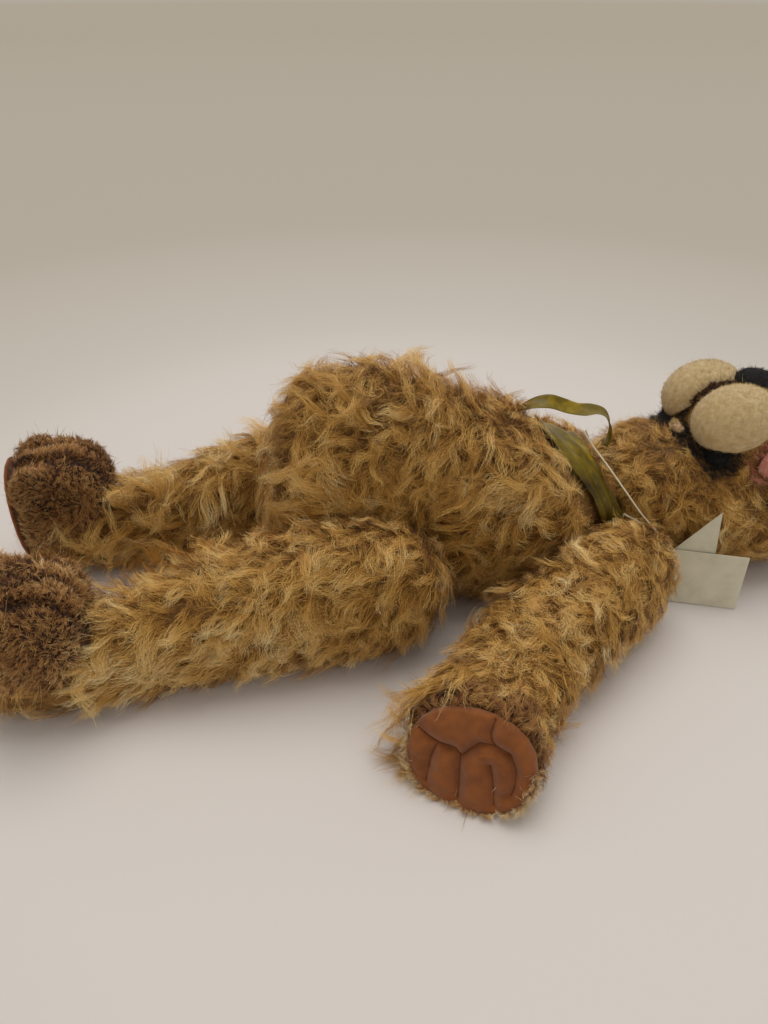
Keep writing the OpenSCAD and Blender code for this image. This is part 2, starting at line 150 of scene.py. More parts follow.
def make_floor():
    """A wide floor with a painted pool of light: palest under the bear and darker away from it."""
    half = FLOOR_HALF_SIDE
    mesh = bpy.data.meshes.new("floor")
    corners = [(-half, -half, 0), (half, -half, 0), (half, half, 0), (-half, half, 0)]
    mesh.from_pydata(corners, [], [(0, 1, 2, 3)])
    floor = link("floor", mesh)
    material = plain_material("floor", FLOOR_COLOURS_WITH_PAINTED_LIGHT[0][1], 0.9, Specular_IOR_Level=0.15)
    place = new_node(material, "NewGeometry")
    length = new_node(material, "VectorMath", "LENGTH")
    share = new_node(material, "Math", "DIVIDE")
    share.inputs[1].default_value = half
    ramp = colour_ramp(material, FLOOR_COLOURS_WITH_PAINTED_LIGHT)
    join(
        material, (place, "Position", length, 0), (length, "Value", share, 0), (share, 0, ramp, "Fac"),
        (ramp, "Color", material.node_tree.nodes["Principled BSDF"], "Base Color"),
    )
    mesh.materials.append(material)


def make_light():
    world = bpy.data.worlds.new("world")
    world.use_nodes = True
    background = world.node_tree.nodes["Background"]
    background.inputs["Color"].default_value = linear("#fbf8f4")
    background.inputs["Strength"].default_value = 0.5
    bpy.context.scene.world = world
    data = bpy.data.lights.new("ceiling", "SUN")
    data.energy = 1.2
    data.angle = math.radians(50)
    data.color = (1.0, 0.975, 0.94)
    lamp = link("ceiling", data)
    lamp.location = (0, 0, 2)
    lamp.rotation_euler = (math.radians(-16), math.radians(6), 0)


make_camera()
make_floor()
make_light()
bpy.context.scene.view_settings.view_transform = "Standard"

# ---- materials ----


def add_bump(material, scale, strength, depth):
    """Small relief from noise at about scale waves to the metre."""
    texture = new_node(material, "TexCoord")
    noise = new_node(material, "TexNoise", Scale=scale, Detail=4)
    bump = new_node(material, "Bump", Strength=strength, Distance=depth)
    join(
        material, (texture, "Object", noise, "Vector"), (noise, "Fac", bump, "Height"),
        (bump, "Normal", material.node_tree.nodes["Principled BSDF"], "Normal"),
    )
    return material


def mottled_material(name, colours, scale, roughness=0.8, bump=(900, 0.4, 0.0004), darker=None, **inputs):
    """Colours mixed by noise, from the hollows' colour to the high places' colour, with small relief.

    darker is a height, a second height above it, and the brightness that is left at the first one; it paints
    shade, darkening the colour towards the bottom.
    """
    material = plain_material(name, colours[0], roughness, **inputs)
    texture = new_node(material, "TexCoord")
    noise = new_node(material, "TexNoise", Scale=scale, Detail=6, Roughness=0.65)
    step = 0.36 / (len(colours) - 1)
    ramp = colour_ramp(material, [(0.32 + step * i, colour) for i, colour in enumerate(colours)])
    join(material, (texture, "Object", noise, "Vector"), (noise, "Fac", ramp, "Fac"))
    painted = (ramp, "Color")
    # painted shade: the colour is scaled down towards the bottom, by height
    if darker:
        split = new_node(material, "SeparateXYZ")
        height = new_node(material, "MapRange", From_Min=darker[0], From_Max=darker[1], To_Min=darker[2])
        darken = new_node(material, "VectorMath", "SCALE")
        join(
            material, (texture, "Object", split, "Vector"), (split, "Z", height, "Value"),
            (*painted, darken, 0), (height, "Result", darken, "Scale"),
        )
        painted = (darken, "Vector")
    join(material, (*painted, material.node_tree.nodes["Principled BSDF"], "Base Color"))
    return add_bump(material, *bump)


def strand_palette(name, colours, roughness=0.55):
    """Materials for strands, from the darkest root to the palest tip."""
    return [
        plain_material(f"{name}_{i}", colour, roughness, Specular_IOR_Level=0.35, Sheen_Weight=0.15)
        for i, colour in enumerate(colours)
    ]


# strand colours from the darkest root to the palest tip: partly the fibres' own colour, partly painted shade
# at the roots and painted highlight at the tips
MOHAIR = strand_palette(
    "mohair", ["#5c3a14", "#875a22", "#ae7b2f", "#d09a44", "#e8b75e", "#f6ce7e", "#ffe6a8"]
)
PLUSH = strand_palette("plush", ["#4e2d14", "#8a562a", "#b07b41", "#c89858", "#e2ba7c", "#f6dfae"], 0.7)
CREAM = strand_palette("cream_fuzz", ["#9a7e4a", "#c2a264", "#dbba78", "#edd294"], 0.8)
DARK = strand_palette("dark_fuzz", ["#050403", "#0a0807", "#16100c"], 0.8)
SEAM_FUZZ = strand_palette("seam_fuzz", ["#4a2e18", "#6b4626", "#8f6236"], 0.8)
PINK = strand_palette("pink_fuzz", ["#b96a50", "#d68f72", "#e8b294"], 0.8)

FELT_RELIEF = (1500, 0.8, 0.0006)
# the backings under the mohair and the plush are dark as painted shade in the gaps between strands
HIDE = mottled_material("mohair_backing_painted_shade", ["#5a3c16", "#7a5422", "#94692c"], 300, 0.9)
PLUSH_HIDE = mottled_material("plush_backing_painted_shade", ["#2a190e", "#4a2f1c"], 400, 0.9)
CREAM_FELT = mottled_material(
    "cream_felt", ["#c0a370", "#d4b988", "#e2cb9c"], 260, 0.95, FELT_RELIEF, Sheen_Weight=0.3
)
BLACK_FELT = mottled_material("black_felt", ["#080706", "#141110"], 500, 0.9, FELT_RELIEF)
PINK_FELT = mottled_material("pink_felt", ["#c9776a", "#de988a"], 400, 0.95, FELT_RELIEF)
SUEDE = mottled_material(
    "suede", ["#7b4312", "#884b17", "#92521c"], 120, 0.92, (2600, 0.5, 0.0003), Sheen_Weight=0.25
)
# satin: the noise mixes dark olive and bright yellow as painted shade and painted highlight of the sheen, and
# below 98 mm painted shade darkens it, to 0.35 at 66 mm
SATIN = mottled_material(
    "satin", ["#413306", "#7c680a", "#c6a626"], 30, 0.36, (90, 0.25, 0.002), (66 * MM, 98 * MM, 0.35),
    Anisotropic=0.4, Specular_IOR_Level=0.3,
)
CARD = mottled_material("card", ["#cfc8ae", "#dbd4ba", "#e3dbc3"], 60, 0.75, (1800, 0.2, 0.0002))
STRING = mottled_material("cotton_string", ["#ecdfbe", "#fff4d6"], 900, 0.85, (3000, 0.4, 0.0002))
EYE = add_bump(
    plain_material("eye", "#0b0e09", 0.08, Coat_Weight=0.6, Coat_Roughness=0.03), 120, 0.02, 0.0002
)
THREAD = add_bump(plain_material("stitch_thread", "#57290f", 0.8), 3000, 0.5, 0.0002)
KNOT = add_bump(plain_material("dark_thread", "#2a2420", 0.8), 3000, 0.5, 0.0002)
LIP_FELT = mottled_material("lip_felt", ["#d9ad88", "#edc9a8"], 400, 0.95, FELT_RELIEF)
LID_FELT = mottled_material("lid_felt", ["#8a6338", "#a77b48"], 500, 0.95, FELT_RELIEF)
FILLING = mottled_material("polyester_filling", ["#d8d4ca", "#eeeae0"], 200, 0.95, (700, 0.8, 0.001))
FIBREBOARD = mottled_material("fibreboard", ["#6b4a2c", "#86603c", "#96704a"], 500, 0.85, (1800, 0.5, 0.0003))
STEEL = mottled_material("zinc_steel", ["#8b8e90", "#a3a6a8"], 150, 0.35, (600, 0.2, 0.0001), Metallic=1.0)

# ---- hides ----


def settle(piece):
    """Makes a piece's modifiers part of its mesh."""
    depsgraph = bpy.context.evaluated_depsgraph_get()
    made = bpy.data.meshes.new_from_object(piece.evaluated_get(depsgraph))
    piece.modifiers.clear()
    piece.data = made


# a shell this near in size to the largest one is its twin, such as the other cheek, not an inner shell
TWIN_SHARE = 0.97


def drop_inner_shells(mesh):
    """Removes inner shells, which a remesh leaves in a hollow."""
    shape = bmesh.new()
    shape.from_mesh(mesh)
    unseen = set(shape.verts)
    islands = []
    while unseen:
        island, edge_of_island = set(), [unseen.pop()]
        while edge_of_island:
            vertex = edge_of_island.pop()
            island.add(vertex)
            for edge in vertex.link_edges:
                other = edge.other_vert(vertex)
                if other in unseen:
                    unseen.remove(other)
                    edge_of_island.append(other)
        islands.append(island)
    largest = max(len(island) for island in islands)
    spare = [vertex for island in islands if len(island) < TWIN_SHARE * largest for vertex in island]
    bmesh.ops.delete(shape, geom=spare, context="VERTS")
    shape.to_mesh(mesh)
    shape.free()


def vectors_of(collection, field):
    flat = np.empty(len(collection) * 3, np.float32)
    collection.foreach_get(field, flat)
    return flat.reshape(-1, 3).astype(float)


def positions(mesh):
    return vectors_of(mesh.vertices, "co")


def normals_of(mesh):
    return vectors_of(mesh.vertex_normals, "vector")


def move_to(mesh, places):
    mesh.vertices.foreach_set("co", places.astype(np.float32).ravel())
    mesh.update()


def claim(piece, body, slot, *nodes):
    """Says which body a piece rides on and the CAD nodes that it replaces; slot, its material slot, is not
    used.
    """
    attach(piece, body)
    if nodes:
        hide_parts(*nodes)


def make_hide(name, nodes, voxel, set_back, material, smoothing=8):
    """One smooth closed skin round several CAD solids, a little inside them."""
    shape = bmesh.new()
    for node in nodes:
        shape.from_mesh(NODES[node].data)
    bmesh.ops.remove_doubles(shape, verts=shape.verts, dist=1e-6)
    mesh = bpy.data.meshes.new(name)
    shape.to_mesh(mesh)
    shape.free()
    piece = link(name, mesh)
    remesh = piece.modifiers.new("remesh", "REMESH")
    remesh.mode = "VOXEL"
    remesh.voxel_size = voxel
    smooth = piece.modifiers.new("smooth", "SMOOTH")
    smooth.factor = 0.5
    smooth.iterations = smoothing
    settle(piece)
    drop_inner_shells(piece.data)
    places = positions(piece.data) - normals_of(piece.data) * set_back
    places[:, 2] = np.maximum(places[:, 2], 0.4 * MM)
    move_to(piece.data, places)
    piece.data.materials.clear()
    piece.data.materials.append(material)
    piece.data.polygons.foreach_set("use_smooth", [True] * len(piece.data.polygons))
    return piece


class Surface:
    """A hide's triangles with their areas and normals, and a tree for finding its nearest point."""

    def __init__(self, piece):
        mesh = piece.data
        mesh.calc_loop_triangles()
        corners = np.empty(len(mesh.loop_triangles) * 3, np.int32)
        mesh.loop_triangles.foreach_get("vertices", corners)
        self.corners = corners.reshape(-1, 3)
        self.places = positions(mesh)
        self.normals = normals_of(mesh)
        a, b, c = (self.places[self.corners[:, i]] for i in range(3))
        self.areas = np.linalg.norm(np.cross(b - a, c - a), axis=1) / 2
        self.tree = BVHTree.FromPolygons(self.places.tolist(), self.corners.tolist())

    def scatter(self, count, rng):
        """Random points spread evenly over the surface, with their normals."""
        chosen = self.corners[rng.choice(len(self.areas), count, p=self.areas / self.areas.sum())]
        weights = rng.dirichlet((1, 1, 1), count)[:, :, None]
        points = (self.places[chosen] * weights).sum(1)
        return points, unit((self.normals[chosen] * weights).sum(1))

    def nearest(self, points):
        """The nearest points on the surface, with the normals there."""
        found = [self.tree.find_nearest(point)[:2] for point in points.tolist()]
        return np.array([f[0][:] for f in found]), np.array([f[1][:] for f in found])

    def depth(self, points):
        """How far each point is above the surface, negative inside."""
        near, outward = self.nearest(points)
        return ((points - near) * outward).sum(1)


def unit(vectors):
    return vectors / np.maximum(np.linalg.norm(vectors, axis=-1, keepdims=True), 1e-9)


def flatten(vectors, normals):
    """The vectors laid in the planes of the normals, at unit length."""
    return unit(vectors - normals * (vectors * normals).sum(-1, keepdims=True))


def turned(vectors, normals, angles):
    """The vectors turned about the normals."""
    return vectors * np.cos(angles)[:, None] + np.cross(normals, vectors) * np.sin(angles)[:, None]


def drift(points, wavelength, seed, channels=3):
    """Values that wander smoothly over space, mostly between -1 and 1."""
    rng = np.random.default_rng(seed)
    total = np.zeros((len(points), channels))
    for _ in range(6):
        waves = unit(rng.normal(size=(channels, 3))).T * rng.uniform(0.6, 1.7, channels)
        total += np.sin(points @ waves * 2 * np.pi / wavelength + rng.uniform(0, 2 * np.pi, channels))
    return total / 2.4


# ---- strands ----

# the coat's highest strands are laid lower from here, so that they keep within the model's height
CROWN_START = cad_bounds[1][2] - 2 * MM
CROWN_ROOM = 15 * MM


def strand_mesh(name, paths, outward, half_width, shades, palette, rng):
    """Thin tapering ribbons along the paths, each with a pointed tip, as one mesh."""
    count, stations = paths.shape[:2]
    along = unit(np.gradient(paths, axis=1))
    side = unit(np.cross(along, outward[:, None, :]))
    facing = np.cross(side, along)
    twist = rng.normal(0, 0.6, (count, 1, 1))
    turned_side = side * np.cos(twist) + facing * np.sin(twist)
    facing = facing * np.cos(twist) - side * np.sin(twist)
    side = turned_side
    taper = 1 - 0.55 * np.linspace(0, 1, stations) ** 1.5
    reach = half_width[:, None, None] * taper[None, :, None]
    edges = np.stack([paths - side * reach, paths + side * reach], axis=2)[:, :-1]
    places = np.concatenate([edges.reshape(count, -1, 3), paths[:, -1:]], axis=1)
    soft = unit(0.4 * facing + 0.9 * outward[:, None, :])
    normals = np.concatenate([np.repeat(soft[:, :-1], 2, axis=1), soft[:, -1:]], axis=1)

    quads = stations - 2
    pattern = [k for j in range(quads) for k in (2 * j, 2 * j + 1, 2 * j + 3, 2 * j + 2)]
    pattern += [2 * quads, 2 * quads + 1, 2 * quads + 2]
    per_strand = places.shape[1]
    corners = (np.arange(count)[:, None] * per_strand + np.array(pattern)[None, :]).ravel()
    sizes = np.tile([4] * quads + [3], count)

    mesh = bpy.data.meshes.new(name)
    mesh.vertices.add(count * per_strand)
    mesh.vertices.foreach_set("co", places.astype(np.float32).ravel())
    mesh.loops.add(len(corners))
    mesh.loops.foreach_set("vertex_index", corners.astype(np.int32))
    mesh.polygons.add(len(sizes))
    mesh.polygons.foreach_set("loop_start", np.concatenate([[0], np.cumsum(sizes)[:-1]]).astype(np.int32))
    mesh.polygons.foreach_set("material_index", shades.ravel().astype(np.int32))
    mesh.polygons.foreach_set("use_smooth", np.ones(len(sizes), bool))
    mesh.update(calc_edges=True)
    for material in palette:
        mesh.materials.append(material)
    mesh.normals_split_custom_set_from_vertices(normals.reshape(-1, 3).astype(np.float32))
    return mesh


def comb(surface, roots, normals, heading, length, lift, curl, curve, rng, stations=9):
    """Guide curves that lie over the surface: they rise from it, bend and wave."""
    count = len(roots)
    step = (length / (stations - 1))[:, None]
    on_skin, outward, ahead = roots, normals, flatten(heading, normals)
    phase = rng.uniform(0, 2 * np.pi, count)
    waves = 2 * np.pi * length / (rng.uniform(0.75, 1.35, count) * curl["wavelength"])
    turn = rng.normal(0, curve, count) / (stations - 1)
    guides = [roots]
    for k in range(1, stations):
        share = k / (stations - 1)
        ahead = flatten(turned(ahead, outward, turn), outward)
        on_skin, outward = surface.nearest(on_skin + ahead * step)
        across = np.cross(outward, ahead)
        size = curl["size"] * share**0.7
        swing = np.sin(phase + waves * share) - np.sin(phase)
        bob = np.cos(phase + waves * share) - np.cos(phase)
        height = lift * share**0.75 + 0.6 * size * bob
        guides.append(on_skin + outward * height[:, None] + across * (size * swing)[:, None])
    return np.stack(guides, axis=1)


def along_heading(*direction):
    """A flow that has one direction everywhere."""
    return lambda points, normals: np.tile(direction, (len(points), 1))


def evenly(value):
    """A scale or tone that has one value everywhere."""
    return lambda points, normals: np.full(len(points), value)


STRAND_FLOOR = 0.5 * MM
FACES_PER_PIECE = 190_000
STRANDS_DEFAULT = {
    # locks: spacing, how far they wave sideways and how often, how much their headings wander and bend
    "lock": 6 * MM, "curl": 2.6 * MM, "wavelength": 14 * MM, "wander": 1.1, "curve": 1.5,
    # strands: how far they gather into their lock, width, points, how far tips and stray strands part
    "gather": (0.1, 0.85), "width": 0.095 * MM, "stations": 8, "fray": 0.7 * MM, "stray": 0.1,
    # palette place of the roots and how many places the tips are above it; the dark roots are partly painted
    # shade and the pale tips partly painted highlight
    "shade": (1.3, 3.2),
    # functions of points and normals: where strands grow, and their length, tone, extra height and droop
    "keep": None, "scale": None, "tone": None, "crest": None, "hang": None,
    # what strands stay clear of: meshes with the room above them, the cards, and a line with its room
    "avoid": (), "cards": False, "line": None, "line_room": 2.5 * MM,
}


def grow(name, hide, body, slot, count, palette, length, lift, flow, seed, **how):
    """Covers a hide with strands in locks, in pieces of a limited number of strands."""
    how = {**STRANDS_DEFAULT, **how}
    rng = np.random.default_rng(seed)
    surface = Surface(hide)
    roots, normals = surface.scatter(int(count * DENSITY), rng)
    lock_count = max(8, int(surface.areas.sum() / how["lock"] ** 2))
    centres, centre_normals = surface.scatter(lock_count, rng)
    if how["keep"]:
        wanted = how["keep"](roots, normals)
        roots, normals = roots[wanted], normals[wanted]
        wanted = how["keep"](centres, centre_normals)
        centres, centre_normals = centres[wanted], centre_normals[wanted]
    lock_of = nearest_index(roots, centres)

    sizes = length * rng.uniform(0.7, 1.25, len(centres))
    if how["scale"]:
        sizes = sizes * how["scale"](centres, centre_normals)
    heading = unit(flow(centres, centre_normals)) + how["wander"] * drift(centres, 45 * MM, seed + 7)
    heading = flatten(heading, centre_normals)
    heading = turned(heading, centre_normals, rng.normal(0, 0.35, len(centres)))
    rise = lift * rng.uniform(0.45, 1.5, len(centres)) * np.minimum(1.2, sizes / length)
    curl = {"size": how["curl"] * rng.uniform(0.4, 1.5, len(centres)), "wavelength": how["wavelength"]}
    if how["crest"]:
        rise = rise * how["crest"](centres, centre_normals)
    guides = comb(surface, centres, centre_normals, heading, sizes, rise, curl, how["curve"], rng)
    if how["hang"]:
        share = np.linspace(0, 1, guides.shape[1]) ** 1.4
        guides = guides + how["hang"](centres, centre_normals)[:, None] * share[None, :, None]

    stations = how["stations"]
    steps = np.linspace(0, 1, stations)
    stray = rng.random(len(roots)) < how["stray"]
    reach = rng.uniform(0.7, 1.08, len(roots)) * np.where(stray, 1.15, 1)
    where = np.clip(steps[None, :] * reach[:, None], 0, 0.999) * (guides.shape[1] - 1)
    low = where.astype(int)
    part = (where - low)[:, :, None]
    chosen = guides[lock_of]
    rows = np.arange(len(roots))[:, None]
    paths = chosen[rows, low] * (1 - part) + chosen[rows, low + 1] * part
    offset = roots - centres[lock_of]
    gather = rng.uniform(*how["gather"], len(centres))[lock_of] * np.where(stray, 0.1, 1)
    hold = 1 - gather[:, None] * steps[None, :] ** 0.8
    paths = paths + offset[:, None, :] * hold[:, :, None]
    fray = rng.normal(0, 1, (len(roots), 3)) * (how["fray"] + np.where(stray, 2.4 * MM, 0))[:, None]
    paths += fray[:, None, :] * (steps**1.2)[None, :, None]
    phase = rng.uniform(0, 2 * np.pi, (len(roots), 1, 3))
    turns = 2 * np.pi * length / how["wavelength"] * rng.uniform(0.8, 1.6, (len(roots), 1, 3))
    waver = np.sin(phase + turns * steps[None, :, None]) - np.sin(phase)
    paths += 0.3 * how["curl"] * waver * steps[None, :, None] ** 0.5
    paths[:, 0] -= normals * 0.6 * MM
    lowest = STRAND_FLOOR + rng.uniform(0, 2.5 * MM, len(roots)) * steps[-1]
    paths[:, :, 2] = np.maximum(paths[:, :, 2], lowest[:, None])

    over = np.maximum(paths[:, :, 2] - CROWN_START, 0)
    paths[:, :, 2] += CROWN_ROOM * np.tanh(over / CROWN_ROOM) - over

    clear = np.ones(len(roots), bool)
    for tree, room in how["avoid"]:
        clear &= ~passes_through(paths, tree, room)
    if how["cards"]:
        for node in ("tag_front_card", "tag_back_card"):
            clear &= ~crosses_plate(paths, *flat_box(node))
    if how["line"] is not None:
        clear &= ~near_line(paths, how["line"], how["line_room"])
    roots, normals, paths, lock_of = roots[clear], normals[clear], paths[clear], lock_of[clear]

    # palette places rise from the root to the tip: partly painted shade at the roots and painted highlight at
    # the tips
    start, span = how["shade"]
    tone = 0.45 * rng.normal(size=len(centres)) + 0.6 * drift(centres, 60 * MM, seed + 3, 1)[:, 0]
    if how["tone"]:
        tone = tone + how["tone"](centres, centre_normals)
    tone = tone[lock_of] + 0.4 * rng.normal(size=len(roots))
    middles = (steps[:-1] + steps[1:]) / 2
    shades = np.rint(start + span * middles[None, :] + tone[:, None])
    shades = np.clip(shades, 0, len(palette) - 1)
    half_width = how["width"] * rng.uniform(0.7, 1.3, len(roots))

    most = FACES_PER_PIECE // (2 * stations - 3)
    order = np.argsort(drift(roots, 400 * MM, 5, 1)[:, 0])
    for number, first in enumerate(range(0, len(order), most)):
        part_of = order[first : first + most]
        mesh = strand_mesh(
            f"{name}_{number + 1}", paths[part_of], normals[part_of], half_width[part_of],
            shades[part_of], palette, rng,
        )
        piece = link(mesh.name, mesh)
        claim(piece, body, slot)


def lies_over(point, tree, room):
    """Whether a point is above the face of a strip, not beside its edge."""
    near, normal, _, apart = tree.find_nearest(point, room)
    if near is None:
        return False
    across = sum((point[k] - near[k]) * normal[k] for k in range(3))
    return apart < 3 * MM or abs(across) > 0.85 * apart


def passes_through(paths, tree, room):
    """Which strands cross a mesh, or lie over it within a room that is more than nothing."""
    crossed = np.zeros(len(paths), bool)
    for i, path in enumerate(paths.tolist()):
        if tree.find_nearest(path[len(path) // 2], max(room, 16 * MM))[0] is None:
            continue
        if room and any(lies_over(point, tree, room) for point in path[2:]):
            crossed[i] = True
            continue
        for a, b in zip(path[:-1:2], path[2::2]):
            way = (b[0] - a[0], b[1] - a[1], b[2] - a[2])
            if tree.ray_cast(a, way, math.dist(a, b))[0] is not None:
                crossed[i] = True
                break
    return crossed


def near_line(paths, line, reach):
    """Which strands come close to a line of points."""
    beads = kdtree.KDTree(len(line))
    for i, point in enumerate(line.tolist()):
        beads.insert(point, i)
    beads.balance()
    near = np.zeros(len(paths), bool)
    for i in np.flatnonzero((np.abs(paths[:, 0] - line.mean(0)) < 0.09).all(1)):
        near[i] = any(beads.find(point)[2] < reach for point in paths[i, 1:].tolist())
    return near


def crosses_plate(paths, middle, directions, half):
    """Which strands go through a thin plate."""
    inside = (paths - middle) @ directions.T
    over = (np.abs(inside[:, :, :2]) < half[:2] + 1 * MM).all(2)
    through = np.abs(inside[:, :, 2]) < half[2] + 1.2 * MM
    swap = np.diff(np.sign(inside[:, :, 2]), axis=1) != 0
    return (over & through).any(1) | (swap & over[:, 1:]).any(1)


def nearest_index(points, targets):
    """For each point the index of its nearest target."""
    found = np.empty(len(points), int)
    block = 2000
    square = (targets**2).sum(1)
    for first in range(0, len(points), block):
        some = points[first : first + block]
        found[first : first + block] = (square[None, :] - 2 * some @ targets.T).argmin(1)
    return found


# ---- regions ----


# voxel size, how far the hide lies inside the CAD skin, and its material
FUR_HIDE = (3 * MM, 2.5 * MM, HIDE)
JOINT_MARGIN = 0.2 * MM


def joint_named(name):
    return next(joint for joint in frame["joints"] if joint["name"] == name)


def clear_of_joint(name):
    """A test that leaves out roots on the flat faces that turn against each other at a joint."""
    joint = joint_named(name)
    centre, axis = np.array(joint["pos_m"]), unit(np.array(joint["axis"], float))

    def keep(points, normals):
        toward = np.abs(((points - centre) * axis).sum(1))
        return (toward > JOINT_MARGIN) | (np.abs((normals * axis).sum(1)) < 0.8)

    return keep


def hardware(side, limb):
    return [f"{side}_{limb}_{part}" for part in ("disc", "washers", "bolt", "nut")]


def finish_hide(hide, body, slot, nodes):
    claim(hide, body, slot, *nodes)


def dress(node, material):
    """Gives a CAD node that stays a better material."""
    for slot in NODES[node].material_slots:
        slot.material = material


def middle_of(node):
    low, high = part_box(node)
    return (np.array(low) + np.array(high)) / 2


def coat(name, hide, body, under, over, length, lift, flow, seed, **how):
    """Dense short undercoat with loose curly locks over it."""
    # the undercoat starts lower in the palette, as painted shade deep in the coat, and the loose locks reach
    # paler tips, as painted highlight
    short = {"lock": 3.2 * MM, "stations": 5, "wander": 1.2, "shade": (0.6, 3.0), "curl": 1.2 * MM, **how}
    loose = {"lock": 7 * MM, "shade": (1.4, 3.8), "gather": (0.1, 0.82), "wavelength": 12 * MM, **how}
    grow(
        f"{name}_under", hide, body, "mohair", under, MOHAIR, 0.55 * length, 0.75 * lift, flow, seed, **short
    )
    grow(f"{name}_over", hide, body, "mohair", over, MOHAIR, length, lift, flow, seed + 500, **loose)


def short_pile(name, hide, body, slot, count, palette, length, lift, flow, seed, **how):
    """Short pile in small locks, for plush, blush and the rims of felt parts."""
    short = {"curl": 0.3 * MM, "wavelength": 5 * MM, "stations": 4, **how}
    grow(name, hide, body, slot, count, palette, length, lift, flow, seed, **short)


def small_felt(name, node, body, slot, material, palette, voxel, fuzz, length, seed, **how):
    """A felted part: a smooth hide from its node, with short fuzz."""
    hide = make_hide(f"{name}_felt", [node], voxel, 0.3 * MM, material, 5)
    finish_hide(hide, body, slot, [node])
    fluff = {
        "lock": 1.6 * MM, "curl": 0.35 * MM, "wavelength": 3 * MM, "wander": 2.5, "gather": (0, 0.3),
        "fray": 0.5 * MM, "shade": (0.5, 2.6), "stray": 0.03, **how,
    }
    short_pile(
        f"{name}_fuzz", hide, body, slot, fuzz, palette, length, 0.6 * length,
        along_heading(0.6, 0.3, -0.5), seed, **fluff,
    )
    return hide


# ---- tag string and cards ----

CREASE_PLACE = (154.7, 54)
CREASE_RADIUS = 36.95
CREASE_START = 40
CREASE_TURN = 228
CAD_SHIFT = 38.85
STRING_FIRST_END = [
    (184.5, -60.6, 37), (182.3, -59.4, 42.6), (178.5, -54, 46), (171, -47.5, 54.5), (162, -43.5, 65),
    (152.5, -38.5, 78), (143, -27.5, 91.5), (136, -15, 101), (135, -3, 104), (140, 10, 100), (148, 22, 90.5)
]
STRING_LAST_END = [
    (157.2, -38, 58.5), (163.5, -40.3, 55.5), (170.5, -44.8, 50.5), (177, -50.5, 45.5),
    (180.3, -57.3, 43.2), (183, -60.4, 38.4)
]
PLY_RADIUS = 0.44 * MM
PLY_OFFSET = 0.28 * MM
PLY_LAY = 3.4 * MM


def smooth_line(points, between):
    """A Catmull-Rom curve through the points."""
    points = np.asarray(points, float)
    held = np.vstack([2 * points[0] - points[1], points, 2 * points[-1] - points[-2]])
    steps = np.arange(between) / between
    made = []
    for a, b, c, d in zip(held[:-3], held[1:-2], held[2:-1], held[3:]):
        for t in steps:
            made.append(0.5 * (2 * b + (c - a) * t + (2 * a - 5 * b + 4 * c - d) * t**2
                               + (3 * b - a - 3 * c + d) * t**3))
    return np.array(made + [points[-1]])


def frames_along(line):
    """Two directions across a line of points, square to each other, at each point."""
    along = unit(np.gradient(line, axis=0))
    side = unit(np.cross(along, [0.31, 0.17, 0.93]))
    return side, np.cross(along, side)


def tube_mesh(name, lines, radius, sides=6):
    """Round tubes along several lines of points, closed at their ends."""
    places, faces = [], []
    around = 2 * np.pi * np.arange(sides) / sides
    for line in lines:
        side, other = frames_along(line)
        first = sum(len(p) for p in places)
        rings = line[:, None] + radius * (
            np.cos(around)[None, :, None] * side[:, None] + np.sin(around)[None, :, None] * other[:, None]
        )
        places.append(rings.reshape(-1, 3))
        for i in range(len(line) - 1):
            for k in range(sides):
                a, b = first + i * sides + k, first + i * sides + (k + 1) % sides
                faces.append((a, b, b + sides, a + sides))
        faces.append([first + k for k in range(sides)][::-1])
        faces.append([first + (len(line) - 1) * sides + k for k in range(sides)])
    mesh = bpy.data.meshes.new(name)
    mesh.from_pydata(np.concatenate(places).tolist(), [], faces)
    mesh.polygons.foreach_set("use_smooth", [True] * len(mesh.polygons))
    return mesh


def make_string():
    """A two-ply cotton string from the front card round the neck and back to the card."""
    angles = np.radians(CREASE_START - CREASE_TURN * np.arange(17) / 16)
    ring = [(CREASE_PLACE[0], CREASE_RADIUS * math.cos(a), CREASE_PLACE[1] + CREASE_RADIUS * math.sin(a))
            for a in angles]
    route = np.array(STRING_FIRST_END + ring + STRING_LAST_END, float) * MM - [CAD_SHIFT * MM, 0, 0]
    line = smooth_line(route, 16)
    steps = np.linalg.norm(np.diff(line, axis=0), axis=1)
    travelled = np.concatenate([[0], np.cumsum(steps)])
    side, other = frames_along(line)
    plies = []
    for start in (0, np.pi):
        angle = (start + 2 * np.pi * travelled / PLY_LAY)[:, None]
        plies.append(line + PLY_OFFSET * (side * np.cos(angle) + other * np.sin(angle)))
    mesh = tube_mesh("tag_string_plies", plies, PLY_RADIUS)
    mesh.materials.append(STRING)
    string = link("tag_string_plies", mesh)
    claim(string, "torso", "cotton_string", "tag_string")
    knot = make_knot(route[0])
    return line


def make_knot(place):
    """The overhand knot that holds the string in the front card's hole."""
    turns = np.linspace(0, 2 * np.pi, 60)
    size = 0.9 * MM
    knot = np.stack([
        np.sin(turns) + 2 * np.sin(2 * turns), 0.8 * np.sin(3 * turns), np.cos(turns) - 2 * np.cos(2 * turns)
    ], axis=1) * size / 3
    mesh = tube_mesh("tag_string_knot", [knot + place + [-0.4 * MM, -0.9 * MM, 0.4 * MM]], 0.4 * MM)
    mesh.materials.append(KNOT)
    piece = link("tag_string_knot", mesh)
    claim(piece, "torso", "cotton_string")
    return piece


def flat_box(node):
    """A thin plate's middle, its three directions from longest to shortest, and half its size along them."""
    places = positions(NODES[node].data)
    middle = places.mean(0)
    directions = np.linalg.svd(places - middle)[2]
    inside = (places - middle) @ directions.T
    return middle, directions, np.abs(inside).max(0)


# ---- ribbon ----

